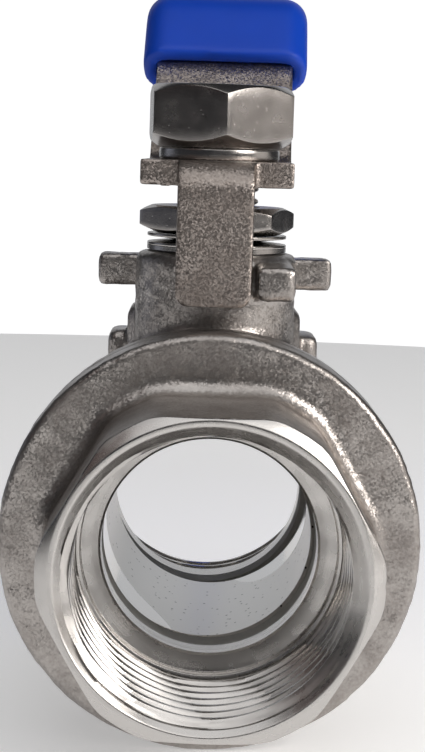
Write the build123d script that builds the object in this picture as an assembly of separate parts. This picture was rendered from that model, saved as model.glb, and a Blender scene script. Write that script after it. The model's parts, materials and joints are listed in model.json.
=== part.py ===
from build123d import *
import math
import os

# Two-piece full-port ball valve, DN 25 (1 inch), with a lever handle, modelled open.
# Frame: origin at the ball's centre, +Y along the flow away from the end cap,
# +Z up the stem, +X to the right of someone who looks along +Y. Millimetres.

# ---------------------------------------------------------------- flow path
PORT_D = 25.0            # bore through both ends, the seats and the ball
BALL_D = 38.0
SEAT_GAP = 0.10          # ball to a seat's spherical face
SEAT_WIDTH = 4.3         # seat ring, from the port out to its rim
SEAT_LIP = 1.2           # flat nose outside the spherical face
SEAT_BACK_WALL = 3.56    # seat ring behind the inner edge of its spherical face
CAVITY_GAP = 0.8         # ball to the chamber's wall
SEAT_FIT = 0.05          # seat rim to its pocket

# ---------------------------------------------------------------- pipe ends, both female G 1
PORT_LAND = 3.5          # wall between a seat's back and the thread's shoulder
THREAD_DEPTH = 18.0      # the thread itself is drawn as its minor diameter
THREAD_CREST_D = 30.3
MOUTH_CHAMFER = 1.6      # countersink at the pipe end
RUNOUT_STEP = 0.4        # last stretch before the shoulder stands in from the thread's crests
RUNOUT_LENGTH = 1.3
HEX_AF = 35.0
HEX_CORNER_RISE = 1.1    # the cast hexagon's turned-down corners, beyond its flats
HEX_FACE_INSET = 0.2     # turned end chamfer meets the end face this far inside the flats
HEX_CHAMFER_ANGLE = 30.0
HEX_ROOT_FILLET = 2.0

# ---------------------------------------------------------------- barrel and end-cap joint
BARREL_WALL = 3.4
FLANGE_LAND = 2.0        # least flat of the flange round the hexagon's root fillet
JOINT_STEP = 1.2         # ledge that the body seal sits on
SPIGOT_REACH = 2.0       # cap spigot past the nose of its seat
SPIGOT_RELIEF = 1.4      # spigot bore outside the seat rim
SPIGOT_WALL = 2.6
FLANGE_SETBACK = 0.5     # flange face behind the plane of the thread's shoulder
FLANGE_T = 5.0
FLANGE_EDGE = 0.9
GROOVE_EDGE = 0.5        # chamfers that draw the joint line
CUT_OVER = 1.0           # how far a cutting shape runs past the face that it opens
JOINT_PITCH = 1.5
JOINT_THREAD_DEPTH = 0.9
THREAD_FIT = 0.06        # between the two sides of every inner thread
SEAL_T = 1.0
RIM_T = 3.5              # body's full-width rim beside the joint
RIM_BACK = 2.0           # length over which the rim falls to the waist
WAIST_WALL = 2.8         # over the ball's cavity, behind the rim
WAIST_TAPER = 1.0        # fall of the waist towards the dome
DOME_START_Y = 10.0      # barrel turns in towards the rear pipe end from here
DOME_OVERRUN = 1.5       # dome's foot past the plane of the thread's shoulder
DOME_FOOT = 1.1          # flat ring between the dome's foot and the hexagon's corners
DOME_FOOT_FILLET = 0.9

# ---------------------------------------------------------------- stem, packing and nuts
STEM_D = 10.0            # M10
STEM_PITCH = 1.5
STEM_THREAD_DEPTH = 0.85
STEM_FLAT_CUT = 1.25     # each of the two flats, in from the thread's crests
STEM_RUN_FIT = 0.05      # stem in the body's bore
TANG_T = 6.0
TANG_CLEAR = 0.10        # each side of the tang in the ball's slot
TANG_TIP_GAP = 0.5
SLOT_FLOOR_WALL = 1.7    # ball metal left between slot and port
COLLAR_STEP = 2.0        # collar beyond the stem
COLLAR_H = 2.8
COLLAR_GAP = 0.6         # collar above the top of the ball
POCKET_FIT = 0.3
THRUST_T = 1.2
DIAPHRAGM_T = 2.8        # body metal between thrust washer and packing
PACKING_WIDTH = 2.5      # packing box, from the stem out to the neck
PACKING_RING_H = 1.5
PACKING_VEE = 0.55       # depth of each ring's vee
PACKING_FIT = 0.05       # packing, gland and thrust washer to stem and neck
GLAND_INSERT = 1.8       # gland inside the neck
GLAND_STANDOFF = 0.2     # gland flange above the neck
GLAND_FLANGE_T = 0.5
SPRING_OVERLAP = 1.1     # gland flange and spring washers beyond the packing box
SPRING_T = 0.4
SPRING_RISE = 0.35
NUT_AF = 17.0
PACK_NUT_H = 3.4
HANDLE_NUT_H = 7.6
NUT_CHAMFER_ANGLE = 35.0
NUT_TOP_INSET = 0.4      # nut's upper face circle inside its flats
NUT_BASE_INSET = 1.0     # nut's lower face circle inside its flats
PACK_NUT_TURN = 11.0     # how the nuts happened to stop, degrees about the stem
HANDLE_NUT_TURN = 34.0
LEVER_TURN = 1.7         # how the lever stands past its front stop, degrees towards closed
STEM_GAP = 2.6           # bare thread between pack nut and handle
STEM_BELOW_NUT = 0.4
WASHER_WIDTH = 2.4      # handle washer beyond the stem
WASHER_T = 1.5
WASHER_HOLE_FIT = 0.25

# ---------------------------------------------------------------- neck and stops
NECK_WALL = 2.4          # round the packing box
NECK_EDGE = 1.1
NECK_ROOT_FILLET = 2.6
STOP_H = 4.0
STOP_DROP = 0.9          # top of the stops below the neck's top
STOP_OVERREACH = 0.3     # a stop's outer face past the tab's
STOP_T = 4.4
STOP_PLAY = 0.3          # handle tab to each stop
STOP_EDGE = 0.5
PAD_OVERHANG = 3.5       # rear pad, each side of the neck
PAD_TOP_DROP = 10.7      # rear pad's top below the neck's top
PAD_FRONT_Y = 5.0
PAD_BACK_Y = 13.0
WEB_OVERHANG = 0.9       # rear web, each side of the neck
WEB_TOP_DROP = 7.2
WEB_BACK_Y = 9.6

# ---------------------------------------------------------------- handle
HANDLE_T = 3.0
HANDLE_WIDTH = 18.2
HANDLE_LENGTH = 150.0    # stem axis to the far end of the metal
HANDLE_HOLE_FIT = 0.1
FRONT_LAND = 6.0         # plate in front of the stem, each side of the tab
TAB_WIDTH = 9.0
TAB_GAP = 1.6            # neck to the tab's inner face
TAB_DROP = 14.0          # tab's tip below the plate's underside
TAB_BEND_R = 2.5         # bend radii are those of the sheet's middle
TAB_CORNER = 1.5
RISER_CLEAR = 0.2        # nut's corners to the riser's lower bend
RISER_ANGLE = 45.0
GRIP_RISE = 20.0         # grip above the plate
RISER_BEND_R = 4.5
GRIP_END_R = 6.0
SLEEVE_WALL = 2.3        # over the faces
SLEEVE_SIDE_WALL = 2.0
SLEEVE_END_WALL = 3.0
SLEEVE_FIT = 0.05
SLEEVE_START = 18.4      # along the riser, from its lower bend to the sleeve's mouth
SLEEVE_ROUND = 3.2

# ---------------------------------------------------------------- sizes that follow
PORT_R = PORT_D / 2
BALL_R = BALL_D / 2
CREST_R = THREAD_CREST_D / 2
MOUTH_R = CREST_R + MOUTH_CHAMFER
RUNOUT_R = CREST_R - RUNOUT_STEP
HEX_CORNER_R = HEX_AF / 2 + HEX_CORNER_RISE
HEX_FACE_R = HEX_AF / 2 - HEX_FACE_INSET

STEM_R = STEM_D / 2
STEM_FLAT = STEM_R - STEM_FLAT_CUT
COLLAR_R = STEM_R + COLLAR_STEP
PACKING_R = STEM_R + PACKING_WIDTH
SPRING_R = PACKING_R + SPRING_OVERLAP
WASHER_R = STEM_R + WASHER_WIDTH
NECK_R = PACKING_R + NECK_WALL
NUT_CORNER_R = NUT_AF / math.sqrt(3)

SEAT_SPHERE_R = BALL_R + SEAT_GAP
SEAT_R = PORT_R + SEAT_WIDTH
SEAT_FACE_R = SEAT_R - SEAT_LIP
SEAT_NOSE_Y = math.sqrt(SEAT_SPHERE_R**2 - SEAT_FACE_R**2)
SEAT_EDGE_Y = math.sqrt(SEAT_SPHERE_R**2 - PORT_R**2)
SEAT_BACK_Y = SEAT_EDGE_Y + SEAT_BACK_WALL

CAVITY_R = BALL_R + CAVITY_GAP
SPIGOT_BORE_R = SEAT_R + SPIGOT_RELIEF
JOINT_R = max(CAVITY_R + JOINT_STEP, SPIGOT_BORE_R + SPIGOT_WALL)
BARREL_R = max(JOINT_R + BARREL_WALL, HEX_CORNER_R + HEX_ROOT_FILLET + FLANGE_LAND)
WAIST_R = min(CAVITY_R + WAIST_WALL, BARREL_R)
SHOULDER_PLANE_Y = SEAT_BACK_Y + PORT_LAND
END_Y = SHOULDER_PLANE_Y + THREAD_DEPTH
DOME_END_Y = SHOULDER_PLANE_Y + DOME_OVERRUN
FLANGE_Y = SHOULDER_PLANE_Y - FLANGE_SETBACK
JOINT_Y = FLANGE_Y - FLANGE_T
SPIGOT_END_Y = SEAT_NOSE_Y - SPIGOT_REACH
SEAL_STEP_Y = SPIGOT_END_Y - SEAL_T

SLOT_FLOOR_Z = PORT_R + SLOT_FLOOR_WALL
TANG_TIP_Z = SLOT_FLOOR_Z + TANG_TIP_GAP
COLLAR_Z = BALL_R + COLLAR_GAP
THRUST_Z = COLLAR_Z + COLLAR_H
POCKET_ROOF_Z = THRUST_Z + THRUST_T
PACKING_Z = POCKET_ROOF_Z + DIAPHRAGM_T
GLAND_Z = PACKING_Z + 3 * PACKING_RING_H
NECK_TOP_Z = GLAND_Z + GLAND_INSERT
GLAND_FLANGE_Z = NECK_TOP_Z + GLAND_STANDOFF
SPRING_Z = GLAND_FLANGE_Z + GLAND_FLANGE_T
PACK_NUT_Z = SPRING_Z + 2 * (SPRING_T + SPRING_RISE)
HANDLE_Z = PACK_NUT_Z + PACK_NUT_H + STEM_GAP
WASHER_Z = HANDLE_Z + HANDLE_T
HANDLE_NUT_Z = WASHER_Z + WASHER_T
STEM_TOP_Z = HANDLE_NUT_Z + HANDLE_NUT_H - STEM_BELOW_NUT

STOP_TOP_Z = NECK_TOP_Z - STOP_DROP
STOP_SIDE = TAB_WIDTH / 2 + STOP_PLAY
TAB_FACE_Y = NECK_R + TAB_GAP + HANDLE_T
STOP_REACH = TAB_FACE_Y + STOP_OVERREACH
SHOULDER_Y = STEM_R + FRONT_LAND
RISER_START_Y = NUT_CORNER_R + RISER_CLEAR
HANDLE_MID_Z = HANDLE_Z + HANDLE_T / 2
SLOPE = math.radians(RISER_ANGLE)
GRIP_BEND_Y = RISER_START_Y + GRIP_RISE / math.tan(SLOPE)

EDGE_FIND = 0.2          # slack when an edge is picked by its place
FLATNESS = 0.02          # slack when an edge is tested for lying on a face


# ---------------------------------------------------------------- helpers
def turned(profile, axis=Axis.Z):
    """Solid of revolution from (radius, height) points, about Z or Y."""
    if axis == Axis.Z:
        points = [(radius, 0, height) for radius, height in profile]
    else:
        points = [(radius, height, 0) for radius, height in profile]
    return revolve(make_face(Polyline(*points, close=True)), axis)


def ring(inner_r, outer_r, low, high, axis=Axis.Z):
    """Plain ring between two heights on an axis."""
    return turned([(inner_r, low), (outer_r, low), (outer_r, high), (inner_r, high)], axis)


def thread_outline(low, high, crest_r, root_r, pitch, flat):
    """(radius, height) points of a thread's turns: a flat crest, then a vee with a flat root."""
    flank = (pitch - 2 * flat) / 2
    points = [(crest_r, low)]
    height = low + flat
    while height + pitch - flat <= high:
        points += [
            (crest_r, height),
            (root_r, height + flank),
            (root_r, height + flank + flat),
            (crest_r, height + 2 * flank + flat),
        ]
        height += pitch
    points.append((crest_r, high))
    return points


def grown(outline, gap):
    """The same outline with every radius larger by a clearance."""
    return [(radius + gap, height) for radius, height in outline]


def hexagon_prism(across_flats, low, high):
    """Upright hexagonal prism with flats that face +Y and -Y."""
    return Pos(0, 0, low) * extrude(RegularPolygon(across_flats / 2, 6, major_radius=False), high - low)


def block(x_low, x_high, y_low, y_high, z_low, z_high):
    """Axis-aligned block from its six faces."""
    size = (x_high - x_low, y_high - y_low, z_high - z_low)
    centre = ((x_low + x_high) / 2, (y_low + y_high) / 2, (z_low + z_high) / 2)
    return Pos(*centre) * Box(*size)


def at_rest(shape):
    """Turn a piece that is made square with the valve to where the lever stands."""
    return Rot(0, 0, -LEVER_TURN) * shape


def strip_side(points, half_t, bend_r):
    """Offset one side of a bent strip's middle line: its corner points and bend radii."""
    corners = []
    radii = []
    for index, point in enumerate(points):
        here = Vector(*point)
        before = (here - Vector(*points[index - 1])).normalized() if index else None
        after = (Vector(*points[index + 1]) - here).normalized() if index + 1 < len(points) else None
        if before is None or after is None:
            along = after or before
            corners.append(here + Vector(-along.Y, along.X) * half_t)
            continue
        turn = before.X * after.Y - before.Y * after.X
        middle = (before + after).normalized()
        stretch = half_t / math.cos(before.get_angle(after) * math.pi / 360)
        corners.append(here + Vector(-middle.Y, middle.X) * stretch)
        radii.append(bend_r[index - 1] - math.copysign(half_t, turn))
    return corners, radii


def bent_strip(points, bend_r, half_t, width):
    """Sheet of even thickness bent along (y, z) points, centred on X = 0."""
    left, left_r = strip_side(points, half_t, bend_r)
    right, right_r = strip_side(points, -half_t, [-r for r in bend_r])
    upper = FilletPolyline(*left, radius=left_r)
    lower = FilletPolyline(*right, radius=[abs(r) for r in right_r])
    outline = upper + lower + Line(left[0], right[0]) + Line(left[-1], right[-1])
    side = Plane.YZ * make_face(outline)
    return extrude(side, width / 2, both=True)


# ---------------------------------------------------------------- thread outlines
STEM_THREAD = thread_outline(
    PACK_NUT_Z, STEM_TOP_Z - STEM_THREAD_DEPTH, STEM_R, STEM_R - STEM_THREAD_DEPTH, STEM_PITCH, STEM_PITCH / 8
)
JOINT_THREAD = thread_outline(
    SPIGOT_END_Y + JOINT_THREAD_DEPTH, JOINT_Y, JOINT_R, JOINT_R - JOINT_THREAD_DEPTH, JOINT_PITCH, JOINT_PITCH / 8
)


# ---------------------------------------------------------------- pipe ends
def pipe_void():
    """Everything hollow between the seat's back and the open pipe end, along +Y."""
    thread_end = SHOULDER_PLANE_Y + RUNOUT_LENGTH
    return turned(
        [
            (0, SEAT_BACK_Y),
            (PORT_R, SEAT_BACK_Y),
            (PORT_R, SHOULDER_PLANE_Y),
            (RUNOUT_R, SHOULDER_PLANE_Y),
            (RUNOUT_R, thread_end),
            (CREST_R, thread_end),
            (CREST_R, END_Y - MOUTH_CHAMFER),
            (MOUTH_R + CUT_OVER, END_Y + CUT_OVER),
            (0, END_Y + CUT_OVER),
        ],
        Axis.Y,
    )


def pipe_hexagon(low):
    """Cast hexagon of a pipe end, from a plane on +Y out to the end face, flats up and down."""
    prism = Rot(-90, 0, 0) * hexagon_prism(HEX_AF, low, END_Y)
    drop = (HEX_CORNER_R - HEX_FACE_R) * math.tan(math.radians(HEX_CHAMFER_ANGLE))
    envelope = turned(
        [(0, low), (HEX_CORNER_R, low), (HEX_CORNER_R, END_Y - drop), (HEX_FACE_R, END_Y), (0, END_Y)], Axis.Y
    )
    return prism & envelope


def seat_pocket():
    """Recess for a seat on +Y, open towards the ball."""
    return ring(0, SEAT_R + SEAT_FIT, 0, SEAT_BACK_Y, Axis.Y)


def hex_root_edges(solid, plane_y):
    """Edges where the hexagon rises from a flat face at one Y."""
    found = []
    for edge in solid.edges():
        centre = edge.center()
        reach = math.hypot(centre.X, centre.Z)
        box = edge.bounding_box()
        flat = abs(box.min.Y - plane_y) < FLATNESS and abs(box.max.Y - plane_y) < FLATNESS
        if flat and HEX_AF / 2 - EDGE_FIND < reach < HEX_CORNER_R + EDGE_FIND:
            found.append(edge)
    return found


# ---------------------------------------------------------------- root pieces
def make_end_cap():
    """Screwed end cap: pipe end, flange and threaded spigot that holds its seat."""
    flange = turned(
        [
            (0, JOINT_Y),
            (BARREL_R - GROOVE_EDGE, JOINT_Y),
            (BARREL_R, JOINT_Y + GROOVE_EDGE),
            (BARREL_R, FLANGE_Y),
            (0, FLANGE_Y),
        ],
        Axis.Y,
    )
    rim = flange.edges().filter_by(GeomType.CIRCLE).group_by(Axis.Y)[-1]
    flange = fillet(rim, FLANGE_EDGE)
    outer = flange + pipe_hexagon(JOINT_Y)
    outer = fillet(hex_root_edges(outer, FLANGE_Y), HEX_ROOT_FILLET)
    spigot = turned(
        [(0, SPIGOT_END_Y), (JOINT_R - JOINT_THREAD_DEPTH, SPIGOT_END_Y)] + JOINT_THREAD + [(0, JOINT_Y)], Axis.Y
    )
    hollow = ring(0, SPIGOT_BORE_R, 0, SEAT_NOSE_Y, Axis.Y)
    cap = outer + spigot - pipe_void() - seat_pocket() - hollow
    return Rot(0, 0, 180) * cap


def make_barrel():
    """Outside of the body along the flow: barrel, domed shoulder and rear pipe end."""
    foot_r = HEX_CORNER_R + DOME_FOOT
    dome_r = WAIST_R - WAIST_TAPER
    rim_end = -JOINT_Y + RIM_T
    sides = Polyline(
        (0, DOME_END_Y), (0, -JOINT_Y), (BARREL_R - GROOVE_EDGE, -JOINT_Y),
        (BARREL_R, -JOINT_Y + GROOVE_EDGE), (BARREL_R, rim_end),
        (WAIST_R, rim_end + RIM_BACK), (dome_r, DOME_START_Y),
    )
    dome = EllipticalCenterArc(
        (foot_r, DOME_START_Y), dome_r - foot_r, DOME_END_Y - DOME_START_Y, start_angle=0, arc_size=90
    )
    outline = sides + dome + Line((foot_r, DOME_END_Y), (0, DOME_END_Y))
    barrel = revolve(make_face(outline), Axis.Y) + pipe_hexagon(DOME_START_Y)
    return fillet(hex_root_edges(barrel, DOME_END_Y), DOME_FOOT_FILLET)


def make_stops():
    """Lugs on the neck that stop the handle's tab, one open and one closed, and the spare one."""
    low = STOP_TOP_Z - STOP_H
    front = block(STOP_SIDE, STOP_SIDE + STOP_T, -STOP_REACH, 0, low, STOP_TOP_Z)
    left = block(-STOP_REACH, 0, STOP_SIDE, STOP_SIDE + STOP_T, low, STOP_TOP_Z)
    lugs = [front, left, mirror(left, Plane.YZ)]
    return [fillet(lug.edges(), STOP_EDGE) for lug in lugs]


def make_neck():
    """Neck, stop lugs, rear web and pad, standing on the barrel."""
    neck = Cylinder(NECK_R, NECK_TOP_Z, align=(Align.CENTER, Align.CENTER, Align.MIN))
    neck = fillet(neck.edges().group_by(Axis.Z)[-1], NECK_EDGE)
    web_half = NECK_R + WEB_OVERHANG
    web = block(-web_half, web_half, 0, WEB_BACK_Y, BALL_R, NECK_TOP_Z - WEB_TOP_DROP)
    web = fillet(web.edges().filter_by(Axis.Z) + web.edges().group_by(Axis.Z)[-1], NECK_EDGE)
    pad_top = NECK_TOP_Z - PAD_TOP_DROP
    pad_half = NECK_R + PAD_OVERHANG
    pad = block(-pad_half, pad_half, PAD_FRONT_Y, PAD_BACK_Y, BALL_R / 2, pad_top)
    pad = fillet(pad.edges().filter_by(Axis.Z) + pad.edges().group_by(Axis.Z)[-1], NECK_EDGE)
    return neck, web, pad


def neck_root_edges(solid):
    """Edge where the round neck rises from the barrel."""
    found = []
    for edge in solid.edges():
        box = edge.bounding_box()
        spots = (edge @ 0, edge @ 0.5, edge @ 1)
        on_neck = all(abs(math.hypot(p.X, p.Y) - NECK_R) < FLATNESS for p in spots)
        if on_neck and 0 < box.min.Z and box.max.Z < BARREL_R:
            found.append(edge)
    return found


def body_void():
    """Chamber, seat pocket, cap thread, stem pocket, stem bore and packing box."""
    thread_side = [(0, -SEAL_STEP_Y), (JOINT_R + THREAD_FIT, -SEAL_STEP_Y)]
    thread_side += [(JOINT_R + THREAD_FIT, -SPIGOT_END_Y)]
    thread_side += [(radius, -height) for radius, height in grown(JOINT_THREAD, THREAD_FIT)]
    thread_side += [(JOINT_R + THREAD_FIT, -JOINT_Y - CUT_OVER), (0, -JOINT_Y - CUT_OVER)]
    pieces = [
        turned(thread_side, Axis.Y),
        ring(0, CAVITY_R, -JOINT_Y, SEAT_NOSE_Y, Axis.Y),
        seat_pocket(),
        pipe_void(),
        ring(0, COLLAR_R + POCKET_FIT, 0, POCKET_ROOF_Z),
        ring(0, STEM_R + STEM_RUN_FIT, 0, NECK_TOP_Z),
        ring(0, PACKING_R, PACKING_Z, NECK_TOP_Z + CUT_OVER),
    ]
    return pieces


def make_body():
    """One-piece cast body with its neck."""
    neck, web, pad = make_neck()
    solid = make_barrel() + neck
    solid = fillet(neck_root_edges(solid), NECK_ROOT_FILLET)
    solid = solid + web + pad + make_stops()
    return solid - body_void()


def make_seat(side):
    """PTFE seat ring with a spherical face, on +Y (side 1) or -Y (side -1)."""
    plain = turned(
        [
            (PORT_R, 0),
            (SEAT_FACE_R, SEAT_NOSE_Y),
            (SEAT_R, SEAT_NOSE_Y),
            (SEAT_R, SEAT_BACK_Y),
            (PORT_R, SEAT_BACK_Y),
        ],
        Axis.Y,
    )
    seat = plain - Sphere(SEAT_SPHERE_R)
    return seat if side > 0 else Rot(0, 0, 180) * seat


def make_body_seal():
    """Flat ring between the cap's spigot and the body's step."""
    return ring(CAVITY_R, JOINT_R, -SPIGOT_END_Y, -SEAL_STEP_Y, Axis.Y)


def make_thrust_washer():
    """Ring that the stem's collar bears on from below."""
    return ring(STEM_R + PACKING_FIT, COLLAR_R, THRUST_Z, POCKET_ROOF_Z)


def packing_ring(index, vee_below, vee_above):
    """One packing ring; a vee below or above nests with its neighbour."""
    inner = STEM_R + PACKING_FIT
    outer = PACKING_R - PACKING_FIT
    middle = (inner + outer) / 2
    low = PACKING_Z + index * PACKING_RING_H
    high = low + PACKING_RING_H
    profile = [(inner, low)]
    if vee_below:
        profile.append((middle, low + PACKING_VEE))
    profile += [(outer, low), (outer, high)]
    if vee_above:
        profile.append((middle, high + PACKING_VEE))
    profile.append((inner, high))
    return turned(profile)


# ---------------------------------------------------------------- turning pieces
def make_ball():
    """Ball with the through port and the slot that the stem's tang drives."""
    port = Rot(90, 0, 0) * Cylinder(PORT_R, 2 * BALL_R)
    half_slot = TANG_T / 2 + TANG_CLEAR
    slot = block(-BALL_R, BALL_R, -half_slot, half_slot, SLOT_FLOOR_Z, BALL_R + CUT_OVER)
    return Sphere(BALL_R) - port - slot


def make_stem():
    """Blow-out-proof stem: tang, collar, plain shank, M10 thread and two flats for the handle."""
    shank = turned(
        [(0, TANG_TIP_Z), (COLLAR_R, TANG_TIP_Z), (COLLAR_R, THRUST_Z), (STEM_R, THRUST_Z)]
        + STEM_THREAD
        + [(STEM_R - STEM_THREAD_DEPTH, STEM_TOP_Z), (0, STEM_TOP_Z)]
    )
    reach = COLLAR_R + CUT_OVER
    for side in (-1, 1):
        edges = sorted((side * TANG_T / 2, side * reach))
        shank -= block(-reach, reach, *edges, TANG_TIP_Z - CUT_OVER, COLLAR_Z)
        edges = sorted((side * STEM_FLAT, side * reach))
        shank -= block(*edges, -reach, reach, HANDLE_Z, STEM_TOP_Z + CUT_OVER)
    return shank


def make_gland():
    """Gland: a sleeve that pushes on the packing and a flange under the spring washers."""
    inner = STEM_R + PACKING_FIT
    outer = PACKING_R - PACKING_FIT
    return turned(
        [
            (inner, GLAND_Z),
            ((inner + outer) / 2, GLAND_Z + PACKING_VEE),
            (outer, GLAND_Z),
            (outer, GLAND_FLANGE_Z),
            (SPRING_R, GLAND_FLANGE_Z),
            (SPRING_R, SPRING_Z),
            (inner, SPRING_Z),
        ]
    )


def make_spring_washer(upper):
    """Conical spring washer: the lower one rests on its rim, the upper one on its hole."""
    inner = STEM_R + WASHER_HOLE_FIT
    low = SPRING_Z + (SPRING_T + SPRING_RISE if upper else 0)
    rim = SPRING_RISE if upper else 0
    hole = SPRING_RISE - rim
    return turned(
        [
            (inner, low + hole),
            (SPRING_R, low + rim),
            (SPRING_R, low + rim + SPRING_T),
            (inner, low + hole + SPRING_T),
        ]
    )


def make_nut(low, height, turn):
    """Hexagon nut with chamfered corners, threaded on the stem."""
    high = low + height
    slope = math.tan(math.radians(NUT_CHAMFER_ANGLE))
    top = NUT_AF / 2 - NUT_TOP_INSET
    base = NUT_AF / 2 - NUT_BASE_INSET
    envelope = turned(
        [
            (0, low),
            (base, low),
            (NUT_CORNER_R, low + (NUT_CORNER_R - base) * slope),
            (NUT_CORNER_R, high - (NUT_CORNER_R - top) * slope),
            (top, high),
            (0, high),
        ]
    )
    thread = grown(STEM_THREAD, THREAD_FIT)
    below = thread[0][1] - CUT_OVER
    above = STEM_TOP_Z + CUT_OVER
    hole = turned([(0, below), (thread[0][0], below)] + thread + [(thread[-1][0], above), (0, above)])
    return (Rot(0, 0, turn) * hexagon_prism(NUT_AF, low, high) & envelope) - hole


def make_handle():
    """Bent lever: tab, plate with a flatted hole, riser and grip."""
    tab_mid_y = -(TAB_FACE_Y - HANDLE_T / 2)
    grip_z = HANDLE_MID_Z + GRIP_RISE
    path = [
        (tab_mid_y, HANDLE_Z - TAB_DROP),
        (tab_mid_y, HANDLE_MID_Z),
        (RISER_START_Y, HANDLE_MID_Z),
        (GRIP_BEND_Y, grip_z),
        (HANDLE_LENGTH, grip_z),
    ]
    bends = [TAB_BEND_R, RISER_BEND_R, RISER_BEND_R]
    strip = bent_strip(path, bends, HANDLE_T / 2, HANDLE_WIDTH)
    for side in (-1, 1):
        edges = sorted((side * TAB_WIDTH / 2, side * HANDLE_WIDTH))
        strip -= block(*edges, -2 * TAB_FACE_Y, -SHOULDER_Y, 0, grip_z)
    tip = strip.edges().filter_by(Axis.Y).group_by(Axis.Z)[0]
    strip = fillet(tip, TAB_CORNER)
    end = strip.edges().filter_by(Axis.Z).group_by(Axis.Y)[-1]
    strip = fillet(end, GRIP_END_R)
    hole_r = STEM_R + HANDLE_HOLE_FIT
    flat = STEM_FLAT + HANDLE_HOLE_FIT
    round_hole = Pos(0, 0, HANDLE_MID_Z) * Cylinder(hole_r, 2 * HANDLE_T)
    return strip - (round_hole & block(-flat, flat, -hole_r, hole_r, 0, WASHER_Z + HANDLE_T))


def past_mouth(edge, mouth, half_t):
    """True for an outline edge of the sleeve's upper or lower face, apart from the mouth's own."""
    ends = [edge @ 0, edge @ 1]
    along = [(p.Y - mouth[0]) * math.cos(SLOPE) + (p.Z - mouth[1]) * math.sin(SLOPE) for p in ends]
    upright = abs(ends[0].Z - ends[1].Z) > half_t and abs(ends[0].Y - ends[1].Y) < EDGE_FIND
    crosswise = edge.bounding_box().size.X > HANDLE_WIDTH and edge.bounding_box().max.Y < HANDLE_LENGTH
    return max(along) > EDGE_FIND and not upright and not crosswise


def make_handle_sleeve():
    """Soft sleeve pushed over the grip and part of the riser, closed at the far end."""
    grip_z = HANDLE_MID_Z + GRIP_RISE
    mouth = (
        RISER_START_Y + SLEEVE_START * math.cos(SLOPE),
        HANDLE_MID_Z + SLEEVE_START * math.sin(SLOPE),
    )
    path = [mouth, (GRIP_BEND_Y, grip_z), (HANDLE_LENGTH + SLEEVE_END_WALL, grip_z)]
    half_t = HANDLE_T / 2 + SLEEVE_WALL
    outer = bent_strip(path, [RISER_BEND_R], half_t, HANDLE_WIDTH + 2 * SLEEVE_SIDE_WALL)
    end = outer.edges().filter_by(Axis.Z).group_by(Axis.Y)[-1]
    outer = fillet(end, GRIP_END_R + SLEEVE_SIDE_WALL)
    outer = fillet([edge for edge in outer.edges() if past_mouth(edge, mouth, half_t)], SLEEVE_ROUND)
    inner_path = [
        (mouth[0] - math.cos(SLOPE), mouth[1] - math.sin(SLOPE)),
        (GRIP_BEND_Y, grip_z),
        (HANDLE_LENGTH + SLEEVE_FIT, grip_z),
    ]
    inner = bent_strip(
        inner_path, [RISER_BEND_R], HANDLE_T / 2 + SLEEVE_FIT, HANDLE_WIDTH + 2 * SLEEVE_FIT
    )
    return outer - inner


# ---------------------------------------------------------------- build and write
PIECES = {
    "body": make_body,
    "end_cap": make_end_cap,
    "body_seal": make_body_seal,
    "seat_cap_side": lambda: make_seat(-1),
    "seat_body_side": lambda: make_seat(1),
    "thrust_washer": make_thrust_washer,
    "packing_ring_bottom": lambda: packing_ring(0, False, True),
    "packing_ring_middle": lambda: packing_ring(1, True, True),
    "packing_ring_top": lambda: packing_ring(2, True, True),
    "ball": lambda: at_rest(make_ball()),
    "stem": lambda: at_rest(make_stem()),
    "gland": make_gland,
    "spring_washer_lower": lambda: make_spring_washer(False),
    "spring_washer_upper": lambda: make_spring_washer(True),
    "pack_nut": lambda: make_nut(PACK_NUT_Z, PACK_NUT_H, PACK_NUT_TURN),
    "handle": lambda: at_rest(make_handle()),
    "handle_sleeve": lambda: at_rest(make_handle_sleeve()),
    "handle_washer": lambda: ring(STEM_R + WASHER_HOLE_FIT, WASHER_R, WASHER_Z, HANDLE_NUT_Z),
    "handle_nut": lambda: make_nut(HANDLE_NUT_Z, HANDLE_NUT_H, HANDLE_NUT_TURN),
}

os.makedirs("parts", exist_ok=True)
for name, make in PIECES.items():
    export_step(make(), f"parts/{name}.step")
    print("wrote", name)
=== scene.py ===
import json
import logging
import math
from collections.abc import Callable, Sequence
from dataclasses import dataclass
from enum import Enum

import bmesh
import bpy
from mathutils import Matrix, Vector, noise

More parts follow.
